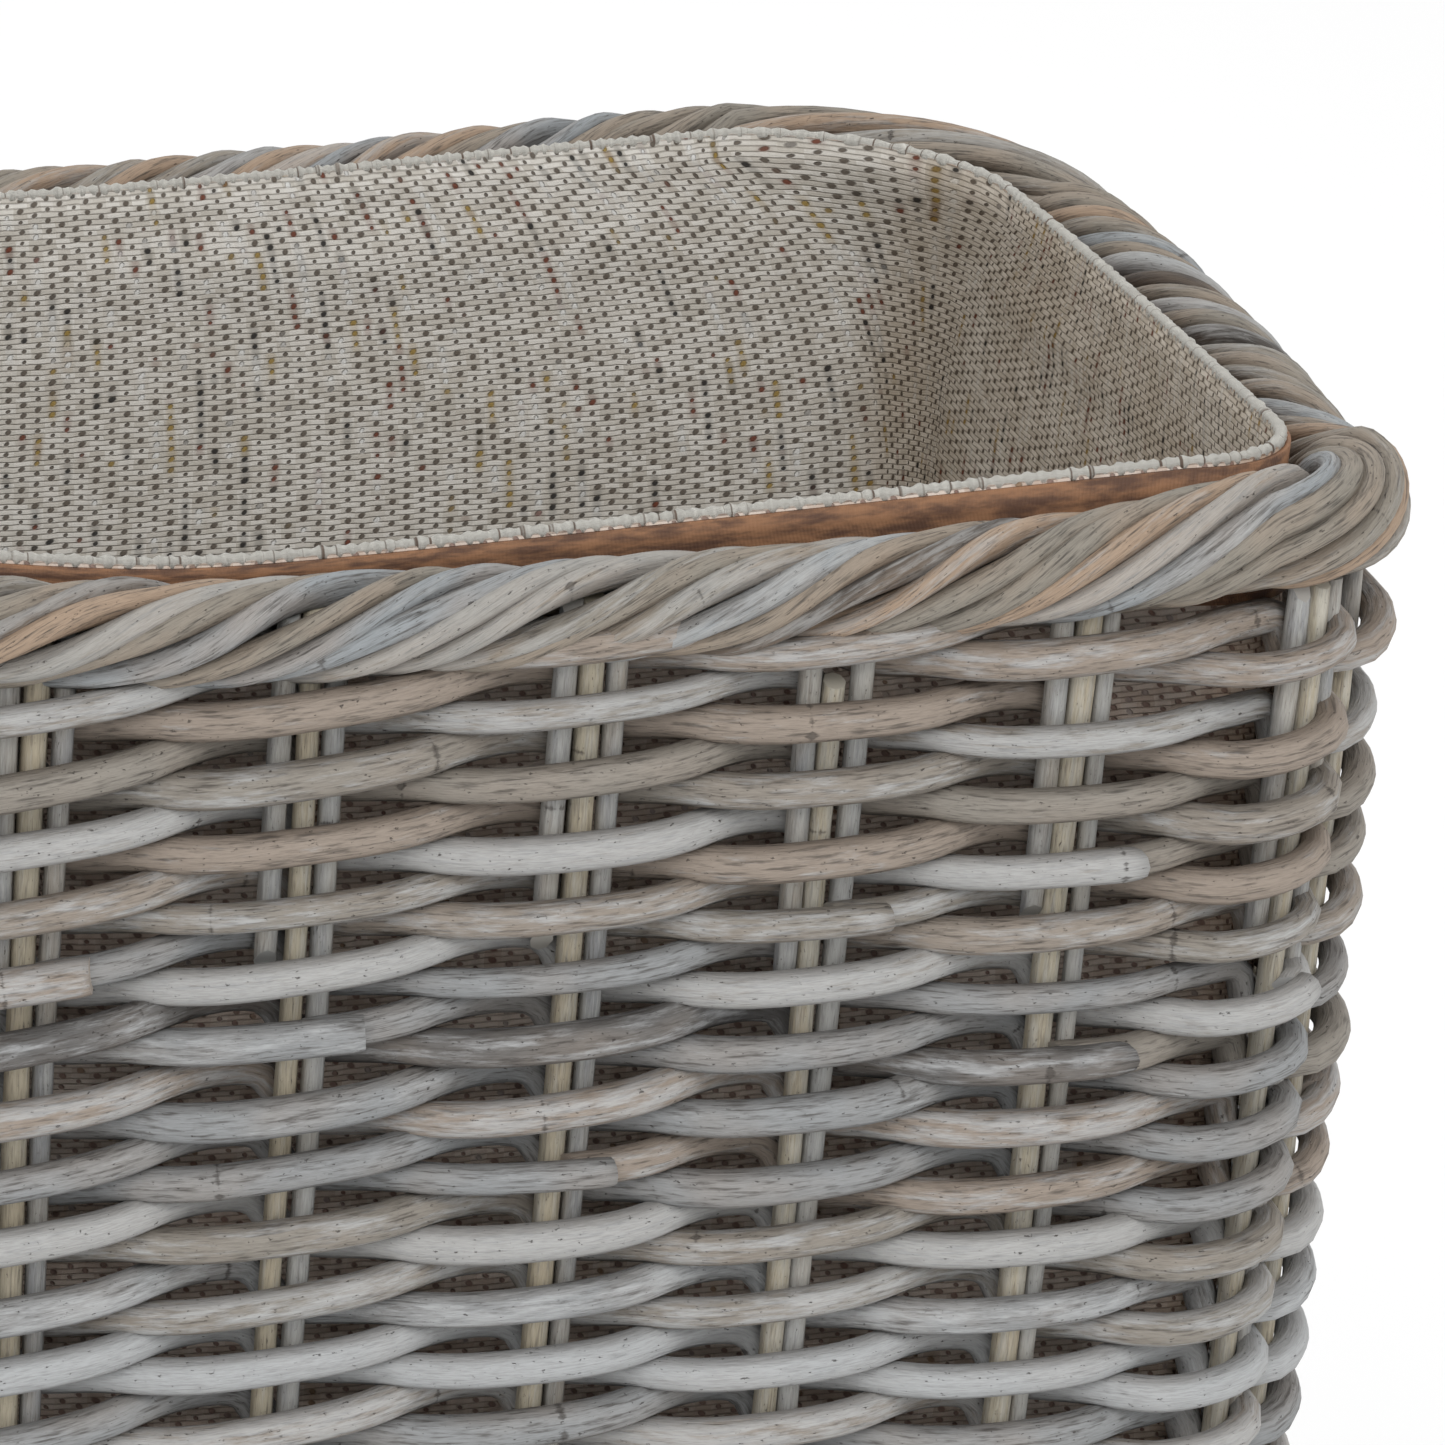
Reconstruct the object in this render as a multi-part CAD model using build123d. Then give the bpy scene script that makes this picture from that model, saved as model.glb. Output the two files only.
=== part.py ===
from build123d import *
import math
import os

os.makedirs("parts", exist_ok=True)

# Overall shape. The stake line is the middle of the wall, seen from above.
HEIGHT = 450.0  # top of the rolled border
STAKE_HALF_X = 228.0  # stake line at the border
STAKE_HALF_Y = 134.0
TAPER = 12.0  # how far the stake line has come in at the floor, each side
CORNER_R = 26.0  # corner radius of the stake line

# Wall
FOOT_TOP = 16.0
BORDER_BOTTOM = 431.0
ROD_R = 2.3
ROD_STEP = 4.8  # rod to rod inside one group
ROD_END_GAP = 0.3  # the leaning rods stop just short of the border and foot
GAP_HALF = 2.4  # half of the space the rods stand in
WEAVER = 6.5  # thickness of one woven layer
LONG_SIDE_GROUPS = (25.0, 77.0, 123.5, 170.5, 216.0)  # from the side's middle, both ways
SHORT_SIDE_GROUPS = (24.5, 73.0, 122.0)
TAIL_LENGTH = 58.0  # short rods that end four or five rows below the border
TAIL_SPREAD = 7.0

# Rolled border and foot
BORDER_WIDTH = 20.0
BORDER_FILLET = 7.0
FOOT_WIDTH = 18.0
FOOT_FILLET = 4.5

# Base
BASE_GAP = 0.5  # between the base and the foot rail's inner side
BASE_R = 17.0
BASE_LOWER_Z = 6.0
BASE_LAYER = 3.6
BASE_STICK_R = 2.3
STICK_INSET = 10.0  # base sticks stop this far inside the edge of the base

# Liner
LINER_SET_IN = 12.0  # outer face of the cloth, in from the stake line
LINER_THICK = 2.4
LINER_CUT = 11.0  # leg of the folded corner
LINER_BOTTOM = 18.1
LINER_TOP = 454.0
TAPE_THICK = 1.1
TAPE_LOW = 436.0
TAPE_HIGH = 451.0


def stake_half(z):
    shrink = TAPER * (1.0 - z / HEIGHT)
    return STAKE_HALF_X - shrink, STAKE_HALF_Y - shrink


def rectangle_at(z, low, high):
    (x0, y0), (x1, y1) = low, high
    corners = [(x0, y0, z), (x1, y0, z), (x1, y1, z), (x0, y1, z)]
    return make_face(Polyline(*corners, close=True))


def quad_at(z, points):
    corners = [(x, y, z) for x, y in points]
    return make_face(Polyline(*corners, close=True))


def side_slab(side, near, far, z0, z1):
    """A flat leaning wall between two distances from the stake line."""
    faces = []
    for z in (z0, z1):
        half_x, half_y = stake_half(z)
        run_x = half_x - CORNER_R
        run_y = half_y - CORNER_R
        if side == "front":
            face = rectangle_at(z, (-run_x, -half_y - far), (run_x, -half_y - near))
        elif side == "back":
            face = rectangle_at(z, (-run_x, half_y + near), (run_x, half_y + far))
        elif side == "right":
            face = rectangle_at(z, (half_x + near, -run_y), (half_x + far, run_y))
        else:
            face = rectangle_at(z, (-half_x - far, -run_y), (-half_x - near, run_y))
        faces.append(face)
    return loft(faces, ruled=True)


def corner_face(z, sign_x, sign_y, near, far):
    half_x, half_y = stake_half(z)
    cx = sign_x * (half_x - CORNER_R)
    cy = sign_y * (half_y - CORNER_R)
    inner_r = CORNER_R + near
    outer_r = CORNER_R + far
    diagonal = math.sqrt(0.5)
    a = (cx + sign_x * inner_r, cy, z)
    b = (cx + sign_x * outer_r, cy, z)
    c = (cx + sign_x * outer_r * diagonal, cy + sign_y * outer_r * diagonal, z)
    d = (cx, cy + sign_y * outer_r, z)
    e = (cx, cy + sign_y * inner_r, z)
    f = (cx + sign_x * inner_r * diagonal, cy + sign_y * inner_r * diagonal, z)
    edges = [Line(a, b), ThreePointArc(b, c, d), Line(d, e), ThreePointArc(e, f, a)]
    return make_face(edges)


def corner_shell(sign_x, sign_y, near, far, z0, z1):
    low = corner_face(z0, sign_x, sign_y, near, far)
    high = corner_face(z1, sign_x, sign_y, near, far)
    return loft([low, high], ruled=True)


def all_corners(maker):
    solids = []
    for sign_x in (-1, 1):
        for sign_y in (-1, 1):
            solids.append(maker(sign_x, sign_y))
    return Compound(children=solids)


def rod_between(low, high, radius):
    low = Vector(*low)
    high = Vector(*high)
    direction = high - low
    return Solid.make_cylinder(radius, direction.length, Plane(origin=low, z_dir=direction))


def wall_point(side, along, z):
    """Point on the stake line, along mm from the middle of a side, measured at the border.

    Inside the flat part the place closes up with the taper. Past it the point goes round the
    corner, always as far from the start of the bend.
    """
    half_x, half_y = stake_half(z)
    half, top_half = (half_x, STAKE_HALF_X) if side in ("front", "back") else (half_y, STAKE_HALF_Y)
    run = half - CORNER_R
    top_run = top_half - CORNER_R
    reach = math.copysign(min(abs(along), top_run), along) * run / top_run
    past = max(abs(along) - top_run, 0.0) / CORNER_R
    across = reach + math.copysign(CORNER_R * math.sin(past), along)
    inward = CORNER_R * (1.0 - math.cos(past))
    if side == "front":
        return (across, -half_y + inward, z)
    if side == "back":
        return (-across, half_y - inward, z)
    if side == "right":
        return (half_x - inward, across, z)
    return (-half_x + inward, -across, z)


def group_places(side):
    places = LONG_SIDE_GROUPS if side in ("front", "back") else SHORT_SIDE_GROUPS
    return [-place for place in reversed(places)] + list(places)


def upright(side, along, z0, z1):
    return rod_between(wall_point(side, along, z0), wall_point(side, along, z1), ROD_R)


def side_stakes(side):
    """Two rods in each group, the second to the right of the first, seen from outside."""
    low = FOOT_TOP + ROD_END_GAP
    high = BORDER_BOTTOM - ROD_END_GAP
    rods = []
    for along in group_places(side):
        for shift in (0.0, ROD_STEP):
            rods.append(upright(side, along + shift, low, high))
    return Compound(children=rods)


def side_tails(side):
    """A short rod left of each pair, but none at the first pair, where the corner has no room."""
    high = BORDER_BOTTOM - ROD_END_GAP
    rods = []
    for number, along in enumerate(group_places(side)[1:]):
        length = TAIL_LENGTH + TAIL_SPREAD * math.sin(2.4 * number)
        rods.append(upright(side, along - ROD_STEP, high - length, high))
    return Compound(children=rods)


def rail_section(plane, width, height, fillet_r):
    """Rounded bar section standing on the plane's local x axis."""
    return plane * Pos(0, height / 2.0) * RectangleRounded(width, height, fillet_r)


def rail_side(side, half_x, half_y, z, width, height, fillet_r):
    run_x = half_x - CORNER_R
    run_y = half_y - CORNER_R
    if side in ("front", "back"):
        y = -half_y if side == "front" else half_y
        plane = Plane(origin=(-run_x, y, z), x_dir=(0, 1, 0), z_dir=(1, 0, 0))
        return extrude(rail_section(plane, width, height, fillet_r), amount=2.0 * run_x)
    x = half_x if side == "right" else -half_x
    plane = Plane(origin=(x, run_y, z), x_dir=(1, 0, 0), z_dir=(0, -1, 0))
    return extrude(rail_section(plane, width, height, fillet_r), amount=2.0 * run_y)


def rail_corner(sign_x, sign_y, half_x, half_y, z, width, height, fillet_r):
    cx = sign_x * (half_x - CORNER_R)
    cy = sign_y * (half_y - CORNER_R)
    start = {(1, 1): 0, (-1, 1): 90, (-1, -1): 180, (1, -1): 270}[(sign_x, sign_y)]
    plane = Plane(origin=(CORNER_R, 0, 0), x_dir=(1, 0, 0), z_dir=(0, -1, 0))
    section = rail_section(plane, width, height, fillet_r)
    bend = revolve(section, axis=Axis.Z, revolution_arc=90)
    return Pos(cx, cy, z) * Rot(0, 0, start) * bend


def liner_outline(z, set_in):
    """Eight-sided outline of the liner at a height, set in from the stake line."""
    half_x, half_y = stake_half(z)
    x = half_x - set_in
    y = half_y - set_in
    cut = LINER_CUT - (set_in - LINER_SET_IN) * (2.0 - math.sqrt(2.0))
    return [
        (x - cut, -y), (x, -y + cut), (x, y - cut), (x - cut, y),
        (-x + cut, y), (-x, y - cut), (-x, -y + cut), (-x + cut, -y),
    ]


def liner_panel(index, near, far, z0, z1):
    """One flat panel between two set-in distances; panels run round from the right-front fold."""
    faces = []
    for z in (z0, z1):
        outer = liner_outline(z, near)
        inner = liner_outline(z, far)
        after = (index + 1) % 8
        faces.append(quad_at(z, [outer[index], outer[after], inner[after], inner[index]]))
    return loft(faces, ruled=True)


def save(shape, node):
    export_step(shape, "parts/" + node + ".step")


def save_wall():
    outer = (GAP_HALF, GAP_HALF + WEAVER)
    inner = (-GAP_HALF - WEAVER, -GAP_HALF)
    for side in ("front", "back", "left", "right"):
        save(side_stakes(side), "stakes_" + side)
        save(side_tails(side), "stake_tails_" + side)
        save(side_slab(side, *outer, FOOT_TOP, BORDER_BOTTOM), "weave_outer_" + side)
        save(side_slab(side, *inner, FOOT_TOP, BORDER_BOTTOM), "weave_inner_" + side)
    for name, (near, far) in (("outer", outer), ("inner", inner)):
        shells = all_corners(
            lambda sx, sy: corner_shell(sx, sy, near, far, FOOT_TOP, BORDER_BOTTOM)
        )
        save(shells, "weave_" + name + "_corners")


def save_rails():
    rim = (STAKE_HALF_X, STAKE_HALF_Y, BORDER_BOTTOM)
    rim_size = (BORDER_WIDTH, HEIGHT - BORDER_BOTTOM, BORDER_FILLET)
    foot_x, foot_y = stake_half(0.0)
    foot = (foot_x, foot_y, 0.0)
    foot_size = (FOOT_WIDTH, FOOT_TOP, FOOT_FILLET)
    for name, place, size in (("border", rim, rim_size), ("foot", foot, foot_size)):
        for side in ("front", "back", "left", "right"):
            save(rail_side(side, *place, *size), name + "_" + side)
        save(all_corners(lambda sx, sy: rail_corner(sx, sy, *place, *size)), name + "_corners")


def save_base():
    foot_x, foot_y = stake_half(0.0)
    half_x = foot_x - 0.5 * FOOT_WIDTH - BASE_GAP
    half_y = foot_y - 0.5 * FOOT_WIDTH - BASE_GAP
    plate = RectangleRounded(2.0 * half_x, 2.0 * half_y, BASE_R)
    stick_z = BASE_LOWER_Z + BASE_LAYER + BASE_STICK_R
    upper_z = BASE_LOWER_Z + BASE_LAYER + 2.0 * BASE_STICK_R
    save(Pos(0, 0, BASE_LOWER_Z) * extrude(plate, amount=BASE_LAYER), "base_weave_lower")
    save(Pos(0, 0, upper_z) * extrude(plate, amount=BASE_LAYER), "base_weave_upper")
    reach = half_y - STICK_INSET
    sticks = []
    for along in group_places("front"):
        x = along * (half_x - STICK_INSET) / LONG_SIDE_GROUPS[-1]
        for shift in (-0.5 * ROD_STEP, 0.5 * ROD_STEP):
            low = (x + shift, -reach, stick_z)
            high = (x + shift, reach, stick_z)
            sticks.append(rod_between(low, high, BASE_STICK_R))
    save(Compound(children=sticks), "base_sticks")


def save_liner():
    near = LINER_SET_IN
    far = LINER_SET_IN + LINER_THICK
    floor_top = LINER_BOTTOM + LINER_THICK
    tape = (near - TAPE_THICK, near, TAPE_LOW, TAPE_HIGH)
    names = {1: "right", 3: "back", 5: "left", 7: "front"}
    for index, side in names.items():
        save(liner_panel(index, near, far, floor_top, LINER_TOP), "liner_" + side)
        save(liner_panel(index, *tape), "liner_tape_" + side)
    folds = [liner_panel(index, near, far, floor_top, LINER_TOP) for index in (0, 2, 4, 6)]
    save(Compound(children=folds), "liner_corners")
    bends = [liner_panel(index, *tape) for index in (0, 2, 4, 6)]
    save(Compound(children=bends), "liner_tape_corners")
    floor = [quad_at(z, liner_outline(floor_top, near)) for z in (LINER_BOTTOM, floor_top)]
    save(loft(floor, ruled=True), "liner_base")


save_wall()
save_rails()
save_base()
save_liner()
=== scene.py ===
import math

import bpy
import numpy as np
from mathutils import Matrix, Vector


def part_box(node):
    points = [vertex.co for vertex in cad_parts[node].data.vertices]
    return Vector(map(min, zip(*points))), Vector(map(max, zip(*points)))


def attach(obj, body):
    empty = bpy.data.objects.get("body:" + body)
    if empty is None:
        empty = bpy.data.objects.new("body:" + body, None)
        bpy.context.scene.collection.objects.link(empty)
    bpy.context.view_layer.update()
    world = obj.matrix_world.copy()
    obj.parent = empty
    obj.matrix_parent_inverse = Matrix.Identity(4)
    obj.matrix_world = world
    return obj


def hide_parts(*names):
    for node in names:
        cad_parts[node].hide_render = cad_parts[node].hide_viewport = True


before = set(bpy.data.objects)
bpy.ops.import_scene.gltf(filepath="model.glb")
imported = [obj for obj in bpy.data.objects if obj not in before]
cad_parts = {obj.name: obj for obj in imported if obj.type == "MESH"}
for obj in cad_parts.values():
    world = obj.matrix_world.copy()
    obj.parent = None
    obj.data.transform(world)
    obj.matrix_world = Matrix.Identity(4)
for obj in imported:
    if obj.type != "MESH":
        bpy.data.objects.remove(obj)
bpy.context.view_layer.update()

mm = 0.001
luck = np.random.default_rng(20)


# ---- camera, light and floor
studio = {
    "aim": Vector((0.102, -0.134, 0.419)),
    "distance": 1.603,
    "yaw": 15.8,  # degrees the camera stands to the left of the front
    "pitch": 19.0,
    "roll": 4.1,
    "lens": 219.2,
    "world": 0.88,
    "floorHalf": 6.0,
    "lights": (  # name, place, aim, size, watts
        ("keyLight", (0.5, -2.2, 2.4), (0.0, 0.0, 0.3), 1.5, 31.0),
        ("fillLight", (-2.0, -1.6, 1.5), (0.0, 0.0, 0.3), 1.8, 8.0),
        ("backLight", (0.4, 2.4, 2.4), (0.2, 0.8, 0.0), 1.6, 10.0),
    ),
}


def makeCamera(spec):
    yaw, pitch, roll = (math.radians(spec[k]) for k in ("yaw", "pitch", "roll"))
    ahead = Vector((math.sin(yaw) * math.cos(pitch), math.cos(yaw) * math.cos(pitch), -math.sin(pitch)))
    level = Vector((math.cos(yaw), -math.sin(yaw), 0.0))
    upward = level.cross(ahead)
    right = level * math.cos(roll) + upward * math.sin(roll)
    top = upward * math.cos(roll) - level * math.sin(roll)
    place = Matrix((right, top, -ahead)).transposed().to_4x4()
    place.translation = spec["aim"] - ahead * spec["distance"]
    data = bpy.data.cameras.new("viewCamera")
    data.lens = spec["lens"]
    data.clip_end = 40.0
    camera = bpy.data.objects.new("viewCamera", data)
    camera.matrix_world = place
    bpy.context.scene.collection.objects.link(camera)
    bpy.context.scene.camera = camera


def makeAreaLight(name, place, aim, size, watts):
    data = bpy.data.lights.new(name, "AREA")
    data.shape = "DISK"
    data.size = size
    data.energy = watts
    light = bpy.data.objects.new(name, data)
    light.location = place
    light.rotation_euler = (Vector(aim) - Vector(place)).to_track_quat("-Z", "Y").to_euler()
    bpy.context.scene.collection.objects.link(light)


def makeStudio(spec):
    world = bpy.data.worlds.new("paleRoom")
    world.use_nodes = True
    background = world.node_tree.nodes["Background"]
    background.inputs["Color"].default_value = (1.0, 1.0, 1.0, 1.0)
    background.inputs["Strength"].default_value = spec["world"]
    bpy.context.scene.world = world
    bpy.context.scene.view_settings.view_transform = "Standard"
    for light in spec["lights"]:
        makeAreaLight(*light)
    half = spec["floorHalf"]
    corners = [(-half, -half, 0), (half, -half, 0), (half, half, 0), (-half, half, 0)]
    mesh = bpy.data.meshes.new("floor")
    mesh.from_pydata(corners, [], [(0, 1, 2, 3)])
    floor = bpy.data.objects.new("floor", mesh)
    bpy.context.scene.collection.objects.link(floor)
    material = bpy.data.materials.new("paleFloor")
    material.use_nodes = True
    shader = material.node_tree.nodes["Principled BSDF"]
    shader.inputs["Base Color"].default_value = (0.92, 0.92, 0.92, 1.0)
    shader.inputs["Roughness"].default_value = 0.9
    mesh.materials.append(material)


makeCamera(studio)
makeStudio(studio)
print("studio ready")


# ---- the basket's plan, read from the frame
def readPlan():
    barLow, barHigh = (np.array(c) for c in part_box("border_front"))
    rimHigh = np.array(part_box("border_corners")[1])
    footHigh = np.array(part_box("foot_corners")[1])
    footLow, footTop = (np.array(c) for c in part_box("foot_front"))
    halfBorder = 0.5 * (barHigh[1] - barLow[1])
    halfFoot = 0.5 * (footTop[1] - footLow[1])
    return {
        "topHalf": rimHigh[:2] - halfBorder,
        "footHalf": footHigh[:2] - halfFoot,
        "bend": rimHigh[0] - halfBorder - barHigh[0],
        "borderLow": barLow[2],
        "borderHigh": barHigh[2],
        "footTop": footTop[2],
    }


plan = readPlan()
runX, runY = plan["topHalf"] - plan["bend"]
quarter = 0.5 * math.pi * plan["bend"]
planBreaks = np.cumsum([0.0] + [2 * runX, quarter, 2 * runY, quarter] * 2)
planLength = planBreaks[-1]
planAcross = np.array([-1, 1, 1, 1, 1, -1, -1, -1, -1.0])
planDeep = np.array([-1, -1, -1, 1, 1, 1, 1, -1, -1.0])
planTurn = np.radians([-90, -90, 0, 0, 90, 90, 180, 180, 270.0])
shortBow = 6.0 * mm  # how far the short sides bow out at the rim
belly = 3.0 * mm  # how far they swell at mid height
backRound = 32.0 * mm  # how much rounder the two back corners are at the rim


# Rounded rectangle seen from above: s runs anticlockwise from the front's left end. The bend's centres slide
# in with the taper as z falls, and the point stands bend + out away from the centre or the line between two
# centres. The short sides also bow outwards, by the square of the height times a parabola along the side, and
# swell a little at mid height by the sine of the height. The back corners grow rounder by the eighth power of
# the height.
def planPoint(s, z, out, bend=None):
    around = np.mod(s, planLength)
    across = np.interp(around, planBreaks, planAcross)
    deep = np.interp(around, planBreaks, planDeep)
    turn = np.interp(around, planBreaks, planTurn)
    share = z / plan["borderHigh"]
    halfX = plan["footHalf"][0] + (plan["topHalf"][0] - plan["footHalf"][0]) * share
    halfY = plan["footHalf"][1] + (plan["topHalf"][1] - plan["footHalf"][1]) * share
    if bend is None:
        bend = plan["bend"] + backRound * backShare(s) * np.clip(share, 0, 1) ** 8
    out = out + shortBow * share ** 2 * (1 - deep ** 2)
    swelling = belly * np.clip(np.sin(math.pi * share), 0, 1) ** 0.7
    x = across * (halfX - bend) + (bend + out + swelling) * np.cos(turn)
    y = deep * (halfY - bend) + (bend + out) * np.sin(turn)
    return np.stack([x, y, z + 0 * x], -1), np.stack([np.cos(turn), np.sin(turn), 0 * x], -1)


# 0 in the middle of each side and 1 at the corners, as the product of both squared signs along the plan.
def cornerShare(s):
    around = np.mod(s, planLength)
    return (np.interp(around, planBreaks, planAcross) * np.interp(around, planBreaks, planDeep)) ** 2


# 0 at the front and 1 at the back.
def backShare(s):
    return 0.5 * (1 + np.interp(np.mod(s, planLength), planBreaks, planDeep))


# How far the rim stands over its drawn height: low in the middle of the long sides, rising evenly to the
# corners, nearly level along the short sides, and higher at the back. dip is the sag of the short sides.
def rimLift(s, low, climb, backLow, backClimb, dip):
    around = np.mod(s, planLength)
    across = np.abs(np.interp(around, planBreaks, planAcross))
    deep = np.interp(around, planBreaks, planDeep)
    rise = np.sqrt(across ** 2 + 0.01) * (1 - dip * (1 - deep ** 2))
    back = backShare(s)
    return low + backLow * back + (climb + backClimb * back) * rise


# Sum of three sine waves with whole numbers of periods round the plan, so that it closes.
def wander(s, size, slowest=2, fastest=11):
    total = 0.0 * s
    for count in luck.integers(slowest, fastest, 3):
        total = total + np.sin(2 * math.pi * (count * s / planLength + luck.random()))
    return size * total / 3.0


# ---- mesh helpers
def addMesh(name, points, quads, caps, material, body, uv=None, marks=None):
    mesh = bpy.data.meshes.new(name)
    mesh.from_pydata(points.tolist(), [], quads.tolist() + caps)
    mesh.polygons.foreach_set("use_smooth", np.arange(len(mesh.polygons)) < len(quads))
    if uv is not None:
        layer = mesh.uv_layers.new(name="length")
        layer.data.foreach_set("uv", uv.astype(np.float32).ravel())
    if marks is not None:
        layer = mesh.color_attributes.new("mark", "FLOAT_COLOR", "POINT")
        layer.data.foreach_set("color", marks.astype(np.float32).ravel())
    mesh.materials.append(material)
    mesh.validate()
    piece = bpy.data.objects.new(name, mesh)
    bpy.context.scene.collection.objects.link(piece)
    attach(piece, body)
    return piece


def rowsOf(vectors):
    return vectors / np.linalg.norm(vectors, axis=-1, keepdims=True)


endShrink = 0.93  # how much slimmer a tube is at its cut ends


# Collects many tubes into one mesh. Each tube is an ellipse carried along a path: at each step the ring's
# points are path + cos(angle) * thick * outward + sin(angle) * wide * sideways, with both directions square
# to the path.
class TubeBundle:
    def __init__(self, sides):
        self.sides = sides
        self.points, self.quads, self.caps, self.uvs, self.marks = [], [], [], [], []
        self.count = 0

    def add(self, path, outward, thick, wide, mark, slantStart=0.0, slantEnd=0.0, closed=False):
        steps = len(path)
        along = np.gradient(path, axis=0)
        if closed:
            along = np.roll(path, -1, 0) - np.roll(path, 1, 0)
        along = rowsOf(along)
        outward = outward - np.sum(outward * along, 1, keepdims=True) * along
        outward = rowsOf(outward)
        sideways = np.cross(along, outward)
        thick = np.broadcast_to(thick, (steps,)).copy()
        wide = np.broadcast_to(wide, (steps,)).copy()
        angle = np.linspace(0, 2 * math.pi, self.sides, endpoint=False)[None, :, None]
        shift = np.zeros((steps, self.sides, 1))
        if not closed:
            thick[[0, -1]] *= endShrink
            wide[[0, -1]] *= endShrink
            shift[0] = slantStart * thick[0] * np.cos(angle[0])
            shift[-1] = slantEnd * thick[-1] * np.cos(angle[0])
        ring = path[:, None] + np.cos(angle) * (thick[:, None] * outward)[:, None]
        ring = ring + np.sin(angle) * (wide[:, None] * sideways)[:, None] + shift * along[:, None]
        length = np.concatenate([[0], np.cumsum(np.linalg.norm(np.diff(path, axis=0), axis=1))])
        links = steps if closed else steps - 1
        i = np.arange(links)[:, None]
        j = np.arange(self.sides)[None]
        i2, j2 = (i + 1) % steps, (j + 1) % self.sides
        ringNow, ringNext = i * self.sides, i2 * self.sides
        quads = np.stack([ringNow + j, ringNow + j2, ringNext + j2, ringNext + j], -1)
        u0 = length[:links, None] + 0.0 * j
        u1 = np.append(length, length[-1] * 2 - length[-2])[1:links + 1, None] + 0.0 * j
        v0 = (j / self.sides) + 0.0 * i
        v1 = ((j + 1) / self.sides) + 0.0 * i
        uv = np.stack([np.stack([u0, v0], -1), np.stack([u0, v1], -1), np.stack([u1, v1], -1),
                       np.stack([u1, v0], -1)], -2)
        self.points.append(ring.reshape(-1, 3))
        self.quads.append(quads.reshape(-1, 4) + self.count)
        self.uvs.append(uv.reshape(-1, 2))
        mark = np.broadcast_to(np.asarray(mark, float), (steps, 4)) if np.ndim(mark) == 1 else mark
        self.marks.append(np.repeat(mark, self.sides, 0))
        if not closed:
            first = [self.count + k for k in range(self.sides)][::-1]
            last = [self.count + (steps - 1) * self.sides + k for k in range(self.sides)]
            self.caps += [first, last]
        self.count += steps * self.sides

    def finish(self, name, material, body):
        capUv = np.full((sum(len(c) for c in self.caps), 2), 0.01)
        uv = np.concatenate(self.uvs + [capUv])
        return addMesh(name, np.concatenate(self.points), np.concatenate(self.quads), self.caps,
                       material, body, uv, np.concatenate(self.marks))


# ---- shader helpers
def addNode(tree, kind, inputs=(), **settings):
    made = tree.nodes.new("ShaderNode" + kind)
    for key, value in settings.items():
        setattr(made, key, value)
    for key, value in dict(inputs).items():
        if isinstance(value, bpy.types.NodeSocket):
            tree.links.new(value, made.inputs[key])
        else:
            made.inputs[key].default_value = value
    return made


def calc(tree, operation, a, b=0.0, c=0.0, clamp=False):
    return addNode(tree, "Math", {0: a, 1: b, 2: c}, operation=operation, use_clamp=clamp).outputs[0]


def smoothMask(tree, value, low, high):
    found = addNode(tree, "MapRange", {"Value": value, "From Min": low, "From Max": high},
                    interpolation_type="SMOOTHSTEP")
    return found.outputs["Result"]


def blendColour(tree, share, first, second, mode="MIX"):
    made = addNode(tree, "Mix", data_type="RGBA", blend_type=mode)
    for key, value in ((0, share), (6, first), (7, second)):
        if isinstance(value, bpy.types.NodeSocket):
            tree.links.new(value, made.inputs[key])
        else:
            made.inputs[key].default_value = value
    return made.outputs[2]


def noiseOf(tree, vector, scale, detail=2.0, rough=0.5):
    settings = {"Vector": vector, "Scale": scale, "Detail": detail, "Roughness": rough}
    return addNode(tree, "TexNoise", settings).outputs["Fac"]


def newGroup(name, inputs, outputs):
    tree = bpy.data.node_groups.new(name, "ShaderNodeTree")
    for label, kind, value in inputs:
        socket = tree.interface.new_socket(label, in_out="INPUT", socket_type="NodeSocket" + kind)
        socket.default_value = value
    for label, kind in outputs:
        tree.interface.new_socket(label, in_out="OUTPUT", socket_type="NodeSocket" + kind)
    return tree, tree.nodes.new("NodeGroupInput"), tree.nodes.new("NodeGroupOutput")


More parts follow.
